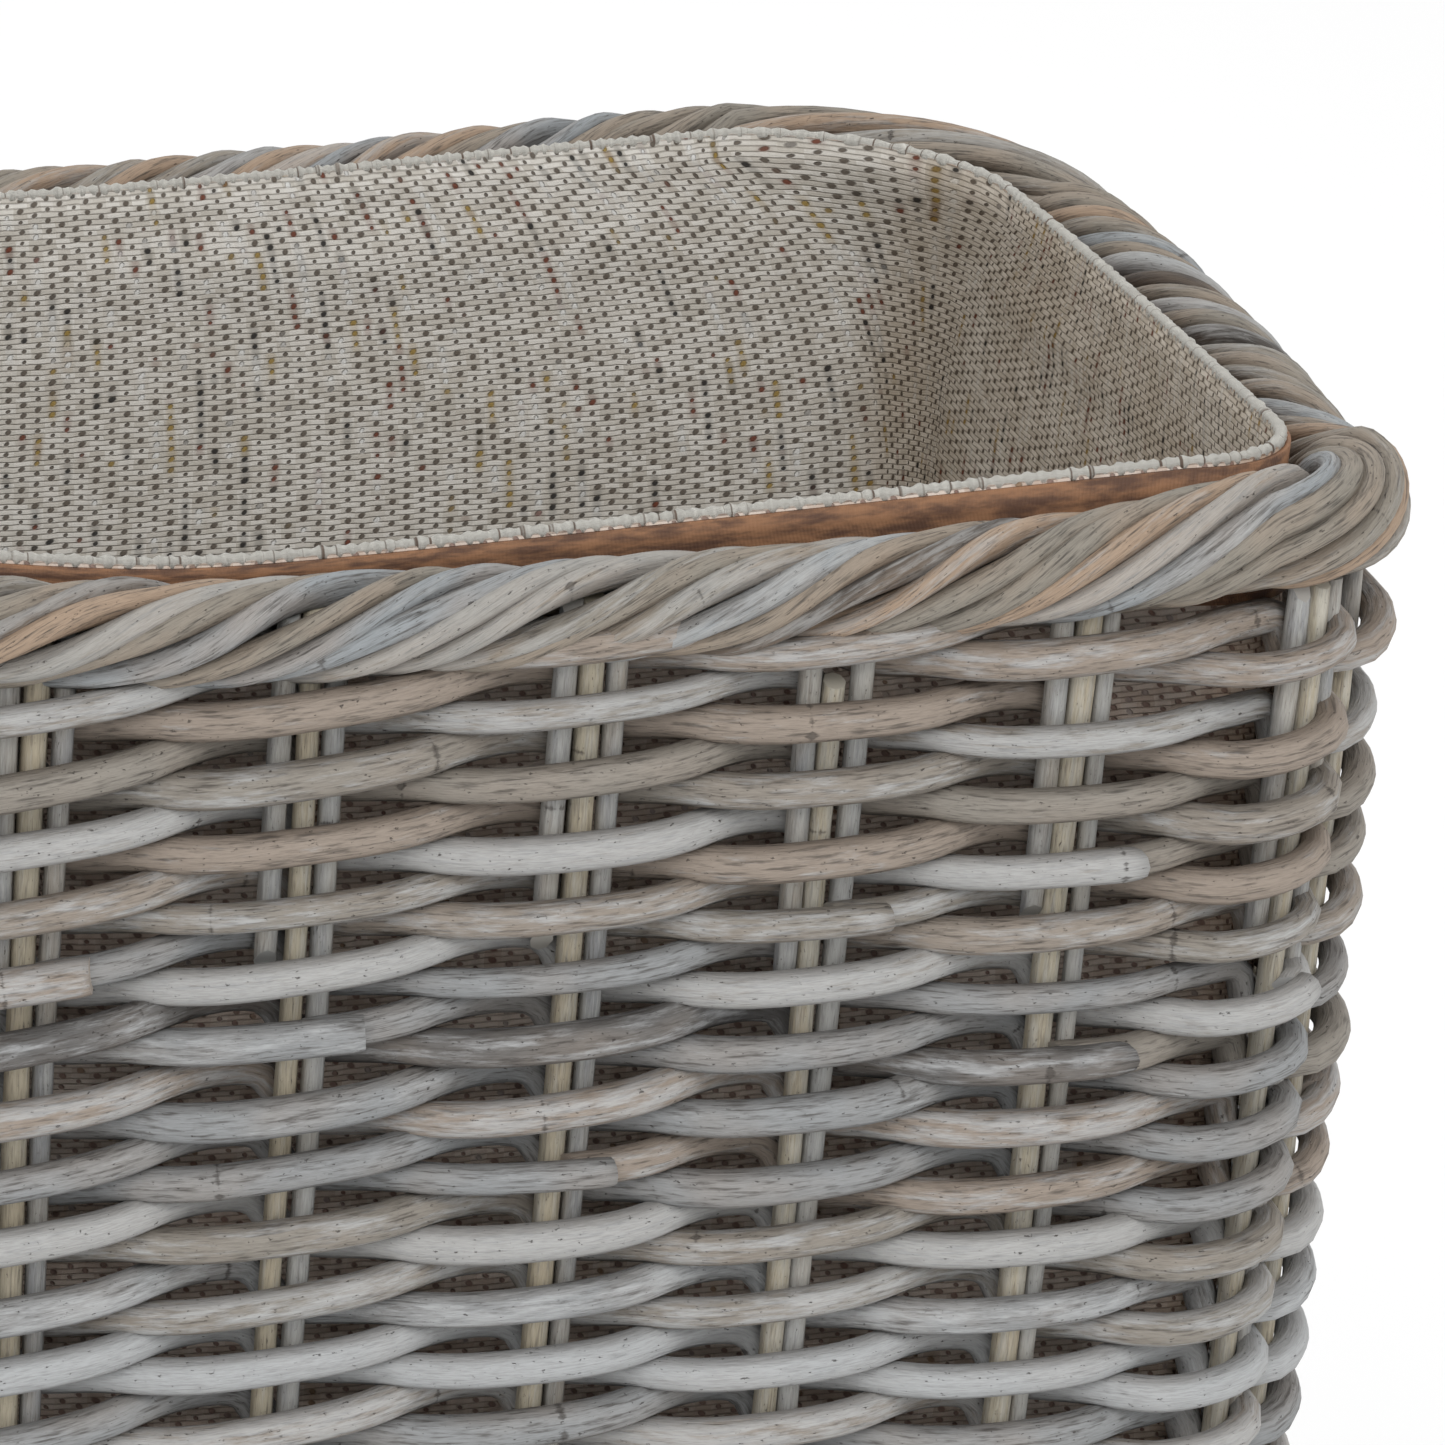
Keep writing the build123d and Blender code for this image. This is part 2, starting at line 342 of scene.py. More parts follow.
# Peeled and stained cane. The mark attribute holds tone, wash and seed; the uv map holds length in metres and
# the share of the way round. Streaks are noise stretched along the cane, wash is a paler skin that has peeled
# in patches, thin dark rings are the cane's joints, and painted shade, broken up by noise, darkens both sides
# of each cane where canes touch.
def makeCaneSkin():
    tree, given, result = newGroup("caneSkin", [
        ("Plain", "Color", (0.25, 0.22, 0.19, 1)), ("Warm", "Color", (0.32, 0.24, 0.18, 1)),
        ("Cool", "Color", (0.30, 0.31, 0.33, 1)), ("Dark", "Color", (0.10, 0.09, 0.08, 1)),
        ("Wash", "Color", (0.5, 0.5, 0.5, 1)), ("Streaks", "Float", 0.5), ("Peel", "Float", 1.0),
        ("GrooveShade", "Float", 0.3),
    ], [("Color", "Color"), ("Roughness", "Float"), ("Height", "Float")])
    mark = addNode(tree, "Attribute", attribute_name="mark").outputs["Color"]
    tone, wash, seed = addNode(tree, "SeparateColor", {"Color": mark}).outputs
    place = addNode(tree, "SeparateXYZ", {"Vector": addNode(tree, "UVMap", uv_map="length").outputs["UV"]})
    turn = calc(tree, "MULTIPLY", place.outputs["Y"], 2 * math.pi)
    ringRadius = 3.2 * mm
    ringX = calc(tree, "MULTIPLY", calc(tree, "COSINE", turn), ringRadius)
    ringY = calc(tree, "MULTIPLY", calc(tree, "SINE", turn), ringRadius)
    start = calc(tree, "MULTIPLY", seed, 7.0)

    def caneVector(squeeze):
        run = calc(tree, "MULTIPLY_ADD", place.outputs["X"], squeeze, start)
        return addNode(tree, "CombineXYZ", {"X": ringX, "Y": ringY, "Z": run}).outputs["Vector"]

    streak = noiseOf(tree, caneVector(0.10), 1500.0, 3.0, 0.6)
    fine = noiseOf(tree, caneVector(0.08), 4200.0, 2.0, 0.6)
    patch = noiseOf(tree, caneVector(0.16), 520.0, 5.0, 0.65)
    cloud = noiseOf(tree, caneVector(0.5), 90.0, 2.0, 0.5)
    speck = noiseOf(tree, caneVector(0.45), 1300.0, 3.0, 0.7)
    colour = blendColour(tree, smoothMask(tree, tone, 0.34, 0.40), given.outputs["Plain"],
                         given.outputs["Warm"])
    colour = blendColour(tree, smoothMask(tree, tone, 0.58, 0.62), colour, given.outputs["Cool"])
    colour = blendColour(tree, smoothMask(tree, tone, 0.90, 0.93), colour, given.outputs["Dark"])
    colour = blendColour(tree, calc(tree, "MULTIPLY", smoothMask(tree, cloud, 0.35, 0.7), 0.35), colour,
                         given.outputs["Warm"])
    streakShare = calc(tree, "MULTIPLY", smoothMask(tree, streak, 0.48, 0.72), given.outputs["Streaks"])
    colour = blendColour(tree, streakShare, colour, given.outputs["Dark"])
    level = calc(tree, "SUBTRACT", 0.78, calc(tree, "MULTIPLY", wash, 0.42))
    washShare = smoothMask(tree, calc(tree, "SUBTRACT", patch, level), -0.12, 0.12)
    washShare = calc(tree, "MULTIPLY", washShare, given.outputs["Peel"])
    colour = blendColour(tree, calc(tree, "MULTIPLY", washShare, 0.65), colour, given.outputs["Wash"])
    fineShare = calc(tree, "MULTIPLY", smoothMask(tree, fine, 0.35, 0.75), 0.34)
    colour = blendColour(tree, fineShare, colour, (0.42, 0.40, 0.38, 1), "MULTIPLY")
    speckShare = calc(tree, "MULTIPLY", smoothMask(tree, speck, 0.64, 0.72), 0.8)
    colour = blendColour(tree, speckShare, colour, given.outputs["Dark"])
    jointGap = 0.095  # half the length between two joints of a cane
    joint = calc(tree, "PINGPONG", calc(tree, "ADD", place.outputs["X"], seed), jointGap)
    joint = calc(tree, "ADD", joint, calc(tree, "MULTIPLY", patch, 5.0 * mm))
    jointShare = calc(tree, "SUBTRACT", 1.0, smoothMask(tree, joint, 2.1 * mm, 2.9 * mm))
    colour = blendColour(tree, calc(tree, "MULTIPLY", jointShare, 0.7), colour, given.outputs["Dark"])
    # Painted contact shade: a darker colour along both sides of the cane, where it touches its neighbours.
    edge = smoothMask(tree, calc(tree, "ABSOLUTE", calc(tree, "SINE", turn)), 0.6, 1.0)
    contactShade = calc(tree, "MULTIPLY", edge, calc(tree, "MULTIPLY_ADD", patch, 1.2, 0.3, clamp=True))
    colour = blendColour(tree, calc(tree, "MULTIPLY", contactShade, given.outputs["GrooveShade"]), colour,
                         (0.34, 0.30, 0.27, 1), "MULTIPLY")
    tree.links.new(colour, result.inputs["Color"])
    rough = addNode(tree, "MapRange", {"Value": streak, "To Min": 0.5, "To Max": 0.75})
    tree.links.new(rough.outputs["Result"], result.inputs["Roughness"])
    height = calc(tree, "MULTIPLY_ADD", fine, 0.25, calc(tree, "MULTIPLY", streak, 0.6))
    height = calc(tree, "ADD", height, calc(tree, "MULTIPLY", washShare, 0.25))
    height = calc(tree, "SUBTRACT", height, calc(tree, "MULTIPLY", speckShare, 0.5))
    height = calc(tree, "SUBTRACT", height, calc(tree, "MULTIPLY", jointShare, 0.5))
    tree.links.new(height, result.inputs["Height"])
    return tree


def finishMaterial(name, group, values, bumpDepth, rest):
    material = bpy.data.materials.new(name)
    material.use_nodes = True
    tree = material.node_tree
    shader = tree.nodes["Principled BSDF"]
    skin = tree.nodes.new("ShaderNodeGroup")
    skin.node_tree = group
    for key, value in values.items():
        skin.inputs[key].default_value = value
    bump = addNode(tree, "Bump", {"Height": skin.outputs["Height"], "Distance": bumpDepth, "Strength": 1.0})
    tree.links.new(skin.outputs["Color"], shader.inputs["Base Color"])
    tree.links.new(skin.outputs["Roughness"], shader.inputs["Roughness"])
    tree.links.new(bump.outputs["Normal"], shader.inputs["Normal"])
    for key, value in rest.items():
        shader.inputs[key].default_value = value
    return material


caneSkin = makeCaneSkin()
weaverCane = finishMaterial("weaverCane", caneSkin, {
    "Plain": (0.262, 0.240, 0.208, 1), "Warm": (0.298, 0.249, 0.206, 1), "Cool": (0.275, 0.284, 0.288, 1),
    "Dark": (0.055, 0.046, 0.040, 1), "Wash": (0.46, 0.47, 0.475, 1), "Streaks": 0.72, "Peel": 1.0,
    "GrooveShade": 0.45,
}, 0.5 * mm, {"Specular IOR Level": 0.3})
borderCane = finishMaterial("borderCane", caneSkin, {
    "Plain": (0.255, 0.232, 0.195, 1), "Warm": (0.36, 0.265, 0.19, 1), "Cool": (0.28, 0.30, 0.312, 1),
    "Dark": (0.06, 0.052, 0.046, 1), "Wash": (0.42, 0.42, 0.41, 1), "Streaks": 0.8, "Peel": 0.8,
    "GrooveShade": 0.55,
}, 0.5 * mm, {"Specular IOR Level": 0.3})
rodSkin = finishMaterial("rodSkin", caneSkin, {
    "Plain": (0.455, 0.410, 0.315, 1), "Warm": (0.54, 0.44, 0.30, 1), "Cool": (0.30, 0.305, 0.31, 1),
    "Dark": (0.11, 0.095, 0.085, 1), "Wash": (0.52, 0.52, 0.49, 1), "Streaks": 0.55, "Peel": 0.7,
}, 0.35 * mm, {"Specular IOR Level": 0.3})


# ---- the twined wall
sideNames = ("front", "back", "left", "right", "corners")
weave = {
    "rows": 32,
    "longSide": np.array((25.0, 77.0, 123.5, 170.5, 216.0)) * mm,  # rod groups, from the middle of a side
    "shortSide": np.array((24.5, 73.0, 122.0)) * mm,
    "caneRadius": 3.35 * mm,
    "rodRadius": 2.3 * mm,
    "lift": 4.9 * mm,  # how far the cane going back passes above the row's middle
    "skew": 0.85,  # share of the fall that happens behind the rods
    "hug": 1.25,  # how flat a cane lies over a group
    "overlap": 1.7 * mm,  # where a new cane starts under the end of the old one
    "sag": 11.0 * mm,  # how far the upper rows drop towards the corners
    "sagFull": 0.26,  # height from which the drop is full
    "startRun": 22.0 * mm,  # length over which a new cane comes out from under the old one
    "endRun": 26.0 * mm,
    "packing": ((5.6, 19.4), (21.6, 35.4)),  # rod groups between which the extra top rows run
    "packingLift": 4.0 * mm,
    "step": 2.6 * mm,
    "bands": 4,
    "sides": 10,
}


def groupPlaces(spec):
    longWay = np.concatenate([-spec["longSide"][::-1], spec["longSide"]])
    shortWay = np.concatenate([-spec["shortSide"][::-1], spec["shortSide"]])
    middles = planBreaks[[0, 2, 4, 6]] + np.array([runX, runY, runX, runY])
    return [(middle + places) for middle, places in zip(middles, (longWay, shortWay, longWay, shortWay))]


sideGroups = groupPlaces(weave)
groupLine = np.sort(np.concatenate(sideGroups))
groupCount = len(groupLine)


# Number of the rod group at s: straight between the groups, then smoothed by a bell curve round the plan.
def makeGroupIndex():
    samples = 4096
    blur = 5.0 * mm
    grid = np.linspace(0, planLength, samples, endpoint=False)
    ends = [groupLine[-1] - planLength, *groupLine, groupLine[0] + planLength]
    spare = np.interp(grid, ends, np.arange(-1, groupCount + 1)) - groupCount * grid / planLength
    bell = np.exp(-2 * (math.pi * np.fft.rfftfreq(samples, planLength / samples) * blur) ** 2)
    smooth = np.fft.irfft(np.fft.rfft(spare) * bell, samples)

    def indexAt(s):
        extra = np.interp(np.mod(s, planLength), grid, smooth, period=planLength)
        return extra + groupCount * s / planLength

    return indexAt


groupIndex = makeGroupIndex()
rowPitch = (plan["borderLow"] - plan["footTop"]) / weave["rows"]


# Middle height of a row: evenly spaced, less a sag towards the corners that grows with height.
def rowHeight(row, s, spec):
    z = plan["footTop"] + (row + 0.5) * rowPitch
    ramp = min(1.0, z / spec["sagFull"]) ** 1.5
    return z - spec["sag"] * ramp * cornerShare(s)


# One cane of a twined row, whose phase grows by half a turn from one group of rods to the next. It swings in
# and out by cos(phase), flattened over the groups by tanh. In height it is a leaning wave,
# atan2(k sin, 1 + k cos): a slow climb in front of the wall and a quick fall behind the rods.
def addWeaver(bundle, row, strand, s0, s1, drift, spec):
    s = np.linspace(s0, s1, max(8, int((s1 - s0) / spec["step"])))
    radius = spec["caneRadius"] * (1.0 + 0.07 * luck.standard_normal())
    phase = math.pi * (groupIndex(s) + strand)
    depth = spec["rodRadius"] + radius
    out = depth * np.tanh(spec["hug"] * np.cos(phase)) / math.tanh(spec["hug"])
    underStart = np.clip(1 - (s - s0) / spec["startRun"], 0, 1) ** 2
    overEnd = np.clip(1 - (s1 - s) / spec["endRun"], 0, 1) ** 2
    out = out + spec["overlap"] * (overEnd - underStart)
    skew = spec["skew"]
    lean = np.arctan2(skew * np.sin(phase), 1 + skew * np.cos(phase)) / math.asin(skew)
    z = rowHeight(row, s, spec) + spec["lift"] * (1 + 0.06 * luck.standard_normal()) * lean + drift(s)
    path, normal = planPoint(s, z, out + 0.3 * mm * np.sin(s * 61.0 + row))
    thick = radius * (1.0 + 0.05 * np.sin(s * (30.0 + 20.0 * luck.random()) + 6.0 * luck.random()))
    height = float(row) / spec["rows"]
    tone = min(0.999, max(0.0, luck.random() * (0.93 + 0.07 * (luck.random() < 0.5))))
    if height < 0.72 and luck.random() < 0.35:
        tone = 0.6 + 0.28 * luck.random()
    if height > 0.85 and tone > 0.6:
        tone *= 0.5
    wash = np.clip(0.55 + 0.35 * luck.standard_normal() + 0.35 * (0.75 - height), 0.0, 1.3)
    bundle.add(path, normal, thick * 0.98, thick * 1.04, (tone, wash, luck.random(), 1.0),
               slantStart=0.5, slantEnd=luck.uniform(-0.9, 0.9))


def stationOf(number):
    turns, rest = divmod(int(number), groupCount)
    return groupLine[rest] + turns * planLength


def gapAfter(number):
    return stationOf(number + 1) - stationOf(number)


# Cuts the ring of one row's cane into lengths. A length stops in front of the wall just past a group, lying
# on the start of the next one.
def addRow(bundle, row, spec):
    swing = luck.integers(2, 9, 3)
    start = luck.random(3)

    def drift(s):
        waves = [np.sin(2 * math.pi * (n * s / planLength + k)) for n, k in zip(swing, start)]
        return 0.45 * mm * sum(waves)

    for strand in (0, 1):
        pieces = luck.integers(1, 4)
        cuts = np.sort(luck.choice(groupCount // 2, pieces, replace=False)) * 2 + strand
        for here, after in zip(cuts, np.append(cuts[1:], cuts[0] + groupCount)):
            begin = stationOf(here) + 0.05 * gapAfter(here)
            end = stationOf(after) + luck.uniform(0.22, 0.36) * gapAfter(after)
            addWeaver(bundle, row, strand, begin, end, drift, spec)


# Packing rows that fill the wedge under the border at each end. They start and stop inside the border.
def addPacking(bundle, spec):
    def climb(s):
        return spec["packingLift"] * cornerShare(s)

    for groups in spec["packing"]:
        ends = [stationOf(k) + (k % 1) * gapAfter(k) for k in groups]
        for strand in (0, 1):
            addWeaver(bundle, spec["rows"], strand, ends[0], ends[1], climb, spec)


def makeWall(spec):
    nodes = ["weave_" + layer + "_" + side for layer in ("outer", "inner") for side in sideNames]
    perBand = spec["rows"] // spec["bands"]
    for band in range(spec["bands"]):
        bundle = TubeBundle(spec["sides"])
        for row in range(band * perBand, (band + 1) * perBand):
            addRow(bundle, row, spec)
        if band == spec["bands"] - 1:
            addPacking(bundle, spec)
        piece = bundle.finish("twinedRows" + str(band + 1), weaverCane, "basket")
        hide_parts(*nodes)


makeWall(weave)
print("wall woven")


# ---- rods
rods = {
    "spacing": 4.8 * mm,
    "radius": 2.3 * mm,
    "step": 9.0 * mm,
    "intoBorder": 12.0 * mm,
    "intoFoot": 5.0 * mm,
    "tail": 58.0 * mm,
    "sides": 8,
}


# A rod stands on the stake line at s and leans with the taper. Two slow sine waves keep it from being dead
# straight.
def addRod(bundle, s, low, high, mark, spec, slant=0.0, share=1.0):
    z = np.linspace(low, high, max(4, int((high - low) / spec["step"])))
    sway = 0.35 * mm * np.sin(z * luck.uniform(25, 45) + 6 * luck.random())
    path, normal = planPoint(s + sway, z, 0.25 * mm * np.sin(z * luck.uniform(20, 40) + 6 * luck.random()))
    size = spec["radius"] * share * (1 + 0.05 * luck.standard_normal())
    bundle.add(path, normal, size, size, mark, slantStart=slant, slantEnd=-abs(slant))


def makeRods(spec):
    names = ("front", "right", "back", "left")
    for name, places in zip(names, sideGroups):
        bundle = TubeBundle(spec["sides"])
        top = plan["borderLow"] + spec["intoBorder"]
        low = plan["footTop"] - spec["intoFoot"]
        for number, s in enumerate(places):
            cream = (0.45 * luck.random(), 0.3 + 0.5 * luck.random(), luck.random(), 1.0)
            grey = (0.62 + 0.25 * luck.random(), 0.5 + 0.4 * luck.random(), luck.random(), 1.0)
            shortTop = top - (luck.uniform(9, 17) * mm if luck.random() < 0.3 else 0.0)
            addRod(bundle, s, low, shortTop, cream, spec, 0.4, 1.08)
            addRod(bundle, s + spec["spacing"], low, top, grey, spec, 0.0, 0.94)
            if number > 0:
                tone = (0.62 + 0.3 * luck.random(), 0.7, luck.random(), 1.0)
                length = spec["tail"] + 7.0 * mm * math.sin(2.4 * (number - 1)) + spec["intoBorder"]
                addRod(bundle, s - spec["spacing"], top - length, top, tone, spec, 1.3)
        piece = bundle.finish("rods" + name.capitalize(), rodSkin, "basket")
        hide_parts("stakes_" + name, "stake_tails_" + name)


makeRods(rods)
print("rods standing")


# ---- rolled border and foot
borderBow = 2.0 * mm  # the border leans out further than the wall on the short sides
border = {
    "canes": 10,
    "turns": 13.0,  # how often one cane goes round the rope on its way round the rim
    "outer": 9.8 * mm,
    "thick": 3.1 * mm,
    "wide": 2.5 * mm,
    "uneven": 1.0,
    "lift": (-3.8 * mm, 11.4 * mm, -1.9 * mm, 5.3 * mm, 0.2),  # as rimLift takes them
    "cornerLift": 6.6 * mm,  # further rise of the two front corners
    "cornerSwell": 0.16,
    "roundBack": backRound,
    "step": 2.6 * mm,
    "sides": 10,
    "material": borderCane,
}
footRail = {
    "canes": 6,
    "turns": 17.0,
    "outer": 7.6 * mm,
    "thick": 2.9 * mm,
    "wide": 2.9 * mm,
    "uneven": 0.3,
    "lift": (0.0, 0.0, 0.0, 0.0, 0.0),
    "cornerLift": 0.0,
    "cornerSwell": 0.0,
    "roundBack": 0.0,
    "step": 3.4 * mm,
    "sides": 8,
    "material": borderCane,
}


# A rope of canes round the plan: each cane is a helix, out = r * cos(a) and up = r * sin(a), where a grows
# along the plan, so that from outside it climbs to the right. Each half turn that shows has its own tone.
def makeRope(name, middleZ, nodes, spec):
    bundle = TubeBundle(spec["sides"])
    s = np.linspace(0, planLength, int(planLength / spec["step"]))
    for cane in range(spec["canes"]):
        turn = 2 * math.pi * (spec["turns"] * s / planLength + cane / spec["canes"])
        turn = turn + 0.10 * np.sin(2 * math.pi * 5 * s / planLength + 2.1 * cane) + wander(s, 0.22, 9, 30)
        thick = spec["thick"] * (1 + wander(s, 0.12, 5, 30))
        wide = spec["wide"] * (1 + 0.1 * spec["uneven"] * luck.standard_normal() + wander(s, 0.16, 5, 30))
        proud = spec["uneven"] * wander(s, 0.9 * mm, 8, 40)
        peak = cornerShare(s) ** 3 * (1 - backShare(s))
        thick = thick * (1 + spec["cornerSwell"] * peak)
        wide = wide * (1 + spec["cornerSwell"] * peak)
        centre = spec["outer"] * (1 + spec["cornerSwell"] * peak) - thick + proud
        z = middleZ + rimLift(s, *spec["lift"]) + spec["cornerLift"] * peak + centre * np.sin(turn)
        bend = plan["bend"] + spec["roundBack"] * backShare(s)
        bow = borderBow * (1 - (2 * backShare(s) - 1) ** 2) * (spec["roundBack"] > 0)
        bow = bow - 0.7 * spec["outer"] * spec["cornerSwell"] * peak
        path, normal = planPoint(s, z, centre * np.cos(turn) + bow, bend)
        lift = np.stack([0 * s, 0 * s, np.sin(turn)], -1)
        outward = normal * np.cos(turn)[:, None] + lift
        visible = np.floor(turn / (2 * math.pi) + 0.38).astype(int)
        tones = luck.random(visible.max() + 1)
        tones = np.where(luck.random(len(tones)) < 0.35, 0.3 * tones, tones)
        washes = np.clip(0.45 + 0.35 * luck.standard_normal(len(tones)), 0.0, 1.1)
        mark = np.stack([tones[visible], washes[visible], luck.random(len(tones))[visible], 0 * s + 1], -1)
        bundle.add(path, outward, thick, wide, mark)
    piece = bundle.finish(name, spec["material"], "basket")
    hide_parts(*nodes)


borderMiddle = 0.5 * (plan["borderLow"] + plan["borderHigh"])
makeRope("rolledBorder", borderMiddle, ["border_" + side for side in sideNames], border)
makeRope("footRail", 0.5 * plan["footTop"] + 0.3 * mm, ["foot_" + side for side in sideNames], footRail)
print("border rolled")


# ---- woven base
base = {
    "rowPitch": 5.9 * mm,
    "thick": 1.8 * mm,
    "wide": 2.8 * mm,
    "swing": 4.0 * mm,
    "margin": (3.0 * mm, 4.0 * mm),
    "cornerBend": 15.0 * mm,
    "sides": 8,
    "samples": 110,
}


# Plain weave over the base sticks: each cane swings up and down by cos(x) with one half wave from stick to
# stick, and neighbours are half a wave apart.
def makeBase(spec):
    low, high = (np.array(c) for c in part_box("base_weave_lower"))
    stickLow, stickHigh = (np.array(c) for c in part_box("base_sticks"))
    middle = 0.5 * (stickLow[2] + stickHigh[2])
    halfX, halfY = high[0] - spec["margin"][0], high[1] - spec["margin"][1]
    bend = spec["cornerBend"]
    places = np.concatenate([-weave["longSide"][::-1], weave["longSide"]])
    places = places * (stickHigh[0] - rods["spacing"]) / places[-1]
    bundle = TubeBundle(spec["sides"])
    count = int(2 * halfY / spec["rowPitch"])
    for number, y in enumerate(np.linspace(-halfY, halfY, count)):
        inset = bend - math.sqrt(max(0.0, bend ** 2 - max(0.0, abs(y) - halfY + bend) ** 2))
        x = np.linspace(-halfX + inset, halfX - inset, spec["samples"])
        wave = np.interp(x, places, np.arange(len(places)), left=-0.4, right=len(places) - 0.6)
        z = middle + spec["swing"] * np.cos(math.pi * (wave + number))
        path = np.stack([x, y + 0 * x, z], -1)
        tone = (luck.random(), 0.5 + 0.5 * luck.random(), luck.random(), 1.0)
        bundle.add(path, np.tile((0.0, 0.0, 1.0), (len(x), 1)), spec["thick"], spec["wide"], tone)
    piece = bundle.finish("baseWeave", weaverCane, "basket")
    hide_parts("base_weave_lower", "base_weave_upper")
    sticks = TubeBundle(spec["sides"])
    for x in places:
        for shift in (-0.5 * rods["spacing"], 0.5 * rods["spacing"]):
            y = np.linspace(stickLow[1], stickHigh[1], 24)
            path = np.stack([x + shift + 0 * y, y, middle + 0 * y], -1)
            cream = (0.45 * luck.random(), 0.3 + 0.5 * luck.random(), luck.random(), 1.0)
            sticks.add(path, np.tile((0.0, 0.0, 1.0), (len(y), 1)), rods["radius"], rods["radius"], cream)
    piece = sticks.finish("baseSticks", rodSkin, "basket")
    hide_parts("base_sticks")


makeBase(base)
print("base woven")


# ---- tweed
# Coarse plain weave: cell (i, j) is one warp thread by one weft thread. Where i + j is odd a short bit of the
# upright warp shows as a dark or coloured dot, and elsewhere the pale weft floats over it. Each upright
# thread changes colour along its length, so the dots form broken vertical flecks. Thin lines of painted
# shade run between the weft threads, and the short walls get a painted browner shade.
def makeTweedSkin():
    tree, given, result = newGroup("tweedSkin", [
        ("Light", "Color", (0.6, 0.54, 0.44, 1)), ("Shade", "Color", (0.42, 0.36, 0.28, 1)),
        ("Dot", "Color", (0.07, 0.05, 0.035, 1)), ("Flecks", "Float", 1.0),
    ], [("Color", "Color"), ("Roughness", "Float"), ("Height", "Float")])
    place = addNode(tree, "SeparateXYZ", {"Vector": addNode(tree, "UVMap", uv_map="length").outputs["UV"]})
    flat = addNode(tree, "CombineXYZ", {"X": place.outputs["X"], "Y": place.outputs["Y"]}).outputs["Vector"]
    waver = calc(tree, "SUBTRACT", noiseOf(tree, flat, 190.0, 3.0), 0.5)
    a = calc(tree, "DIVIDE", calc(tree, "MULTIPLY_ADD", waver, 1.3 * mm, place.outputs["X"]), 2.85 * mm)
    b = calc(tree, "DIVIDE", calc(tree, "MULTIPLY_ADD", waver, -0.9 * mm, place.outputs["Y"]), 1.17 * mm)
    column, row = calc(tree, "FLOOR", a), calc(tree, "FLOOR", b)
    across = calc(tree, "SUBTRACT", calc(tree, "FRACT", a), 0.5)
    up = calc(tree, "SUBTRACT", calc(tree, "FRACT", b), 0.5)
    odd = calc(tree, "FLOORED_MODULO", calc(tree, "ADD", column, row), 2.0)
    cell = addNode(tree, "CombineXYZ", {"X": column, "Y": row}).outputs["Vector"]
    chance = addNode(tree, "TexWhiteNoise", {"Vector": cell}, noise_dimensions="3D").outputs["Value"]
    leaning = calc(tree, "MULTIPLY_ADD", up, 0.12, across)
    reachX = calc(tree, "POWER", calc(tree, "MULTIPLY", leaning, 4.6), 2.0)
    reachY = calc(tree, "POWER", calc(tree, "MULTIPLY", up, 1.75), 2.0)
    reach = calc(tree, "SQRT", calc(tree, "ADD", reachX, reachY))
    wide = calc(tree, "MULTIPLY_ADD", chance, 0.45, 0.62)
    outside = smoothMask(tree, calc(tree, "DIVIDE", reach, wide), 0.65, 1.25)
    dot = calc(tree, "MULTIPLY", odd, calc(tree, "SUBTRACT", 1.0, outside))
    rib = smoothMask(tree, calc(tree, "ABSOLUTE", up), 0.28, 0.5)
    broad = noiseOf(tree, flat, 24.0, 3.0)
    base = calc(tree, "MULTIPLY_ADD", broad, 0.7, calc(tree, "MULTIPLY", chance, 0.45))
    colour = blendColour(tree, smoothMask(tree, base, 0.25, 0.85), given.outputs["Light"],
                         given.outputs["Shade"])
    # Painted shade: the rib mask darkens the thin grooves between the weft threads.
    colour = blendColour(tree, calc(tree, "MULTIPLY", rib, 0.42), colour, (0.28, 0.23, 0.18, 1), "MULTIPLY")
    dotColour = given.outputs["Dot"]
    fleckKinds = (  # step across, rate along the thread, level, colour
        (3.7, 0.085, 0.60, (0.006, 0.005, 0.006, 1)),
        (11.3, 0.11, 0.615, (0.15, 0.03, 0.010, 1)),
        (23.9, 0.06, 0.62, (0.33, 0.22, 0.05, 1)),
        (41.1, 0.075, 0.59, (0.78, 0.78, 0.76, 1)),
    )
    for step, rate, level, tint in fleckKinds:
        spot = addNode(tree, "CombineXYZ", {"X": calc(tree, "MULTIPLY", column, step),
                                            "Y": calc(tree, "MULTIPLY", row, rate), "Z": step})
        mask = smoothMask(tree, noiseOf(tree, spot.outputs["Vector"], 1.0, 2.0, 0.6), level, level + 0.03)
        mask = calc(tree, "MULTIPLY", mask, given.outputs["Flecks"])
        dotColour = blendColour(tree, mask, dotColour, tint)
        haze = calc(tree, "SUBTRACT", 1.0, smoothMask(tree, calc(tree, "ABSOLUTE", across), 0.12, 0.45))
        haze = calc(tree, "MULTIPLY", mask, haze)
        colour = blendColour(tree, calc(tree, "MULTIPLY", haze, 0.30), colour, tint)
    colour = blendColour(tree, calc(tree, "MULTIPLY", dot, 0.9), colour, dotColour)
